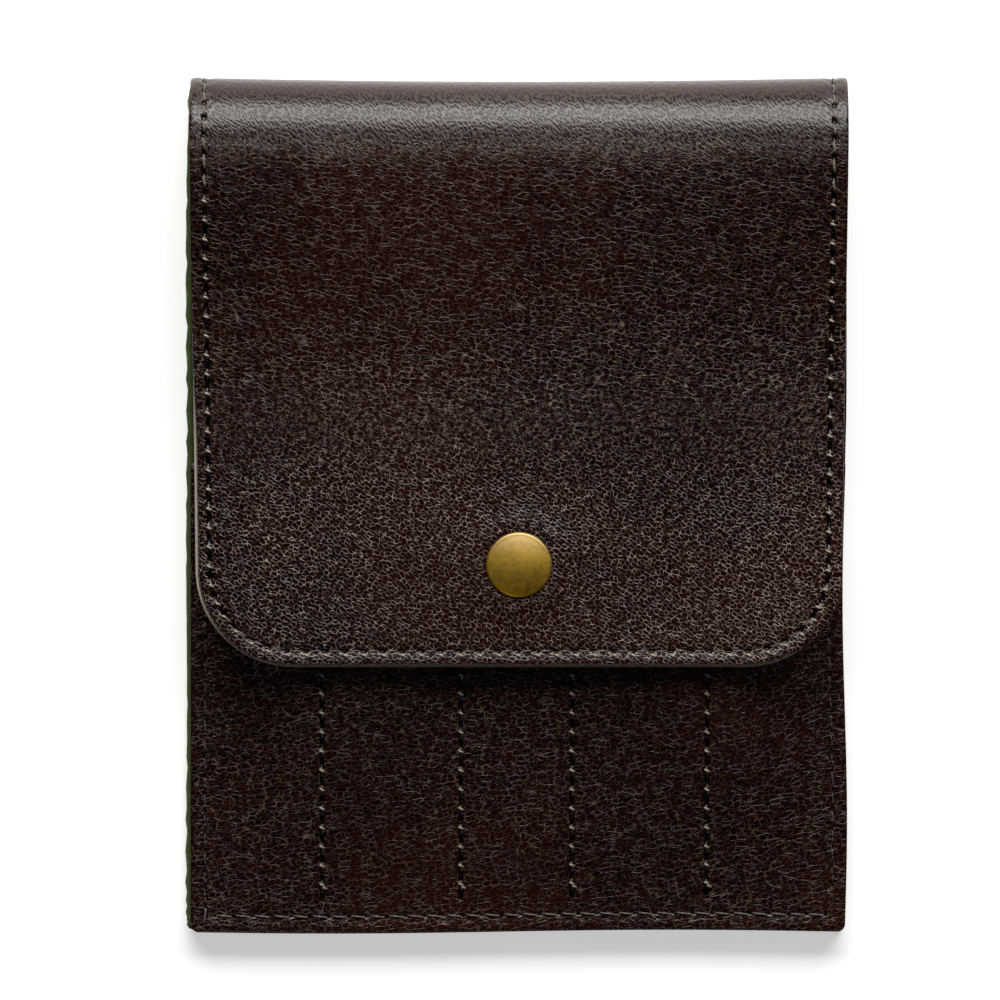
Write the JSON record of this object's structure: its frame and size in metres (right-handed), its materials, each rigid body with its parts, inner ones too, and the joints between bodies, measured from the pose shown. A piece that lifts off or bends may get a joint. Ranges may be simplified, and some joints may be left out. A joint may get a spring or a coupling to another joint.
{
  "type": "knitting needle case",
  "caption": "Flat leather case with felt-lined needle pockets under a folded flap, closed by a snap button.",
  "frame": {"origin": "middle of the outer face of the back, on the surface that the case lies on", "axes": "+X right and +Y towards the fold for somebody facing the flap, +Z out of the flap"},
  "size_m": [0.1256, 0.1632, 0.0186],
  "materials": {
    "leather": "pebbled, satin",
    "felt": "matt felt",
    "antique_brass": "antique, satin",
    "spring_steel": "bright wire",
    "thread": "waxed, satin"
  },
  "bodies": {
    "case": {"back_leather": "leather", "back_lining": "felt", "pocket_felt": "felt", "front_leather": "leather", "divider_pleat_1": "felt", "divider_pleat_2": "felt", "divider_pleat_3": "felt", "divider_pleat_4": "felt", "snap_stud": "antique_brass", "snap_eyelet": "antique_brass", "side_thread_left": "thread", "back_edge_thread_left": "thread", "side_thread_right": "thread", "back_edge_thread_right": "thread", "bottom_thread": "thread", "divider_thread_1": "thread", "divider_thread_2": "thread", "divider_thread_3": "thread", "divider_thread_4": "thread"},
    "fold_slat_1": {"fold_leather_1": "leather", "fold_lining_1": "felt", "fold_thread_1": "thread"},
    "fold_slat_2": {"fold_leather_2": "leather", "fold_lining_2": "felt", "fold_thread_2": "thread"},
    "fold_slat_3": {"fold_leather_3": "leather", "fold_lining_3": "felt", "fold_thread_3": "thread"},
    "fold_slat_4": {"fold_leather_4": "leather", "fold_lining_4": "felt", "fold_thread_4": "thread"},
    "fold_slat_5": {"fold_leather_5": "leather", "fold_lining_5": "felt", "fold_thread_5": "thread"},
    "flap": {"flap_leather": "leather", "flap_lining": "felt", "flap_thread": "thread", "snap_cap": "antique_brass", "snap_socket": "antique_brass", "snap_ring_spring": "spring_steel"}
  },
  "joints": [
    {"name": "fold_bend_1", "type": "hinge", "parent": "case", "child": "fold_slat_1", "pos_m": [0, 0.07744, 0.00013], "axis": [-1, 0, 0], "range_deg": [0, 30]},
    {"name": "fold_bend_2", "type": "hinge", "parent": "fold_slat_1", "child": "fold_slat_2", "pos_m": [0, 0.07993, 0.00157], "axis": [-1, 0, 0], "range_deg": [0, 30]},
    {"name": "fold_bend_3", "type": "hinge", "parent": "fold_slat_2", "child": "fold_slat_3", "pos_m": [0, 0.08137, 0.00406], "axis": [-1, 0, 0], "range_deg": [0, 30]},
    {"name": "fold_bend_4", "type": "hinge", "parent": "fold_slat_3", "child": "fold_slat_4", "pos_m": [0, 0.08124, 0.00851], "axis": [-1, 0, 0], "range_deg": [0, 30]},
    {"name": "fold_bend_5", "type": "hinge", "parent": "fold_slat_4", "child": "fold_slat_5", "pos_m": [0, 0.07823, 0.01372], "axis": [-1, 0, 0], "range_deg": [0, 30]},
    {"name": "fold_bend_6", "type": "hinge", "parent": "fold_slat_5", "child": "flap", "pos_m": [0, 0.07301, 0.01674], "axis": [-1, 0, 0], "range_deg": [0, 30]}
  ],
  "couplings": [
    {"joint": "fold_bend_1", "follows": "fold_bend_6", "ratio": 1},
    {"joint": "fold_bend_2", "follows": "fold_bend_6", "ratio": 1},
    {"joint": "fold_bend_3", "follows": "fold_bend_6", "ratio": 1},
    {"joint": "fold_bend_4", "follows": "fold_bend_6", "ratio": 1},
    {"joint": "fold_bend_5", "follows": "fold_bend_6", "ratio": 1}
  ]
}
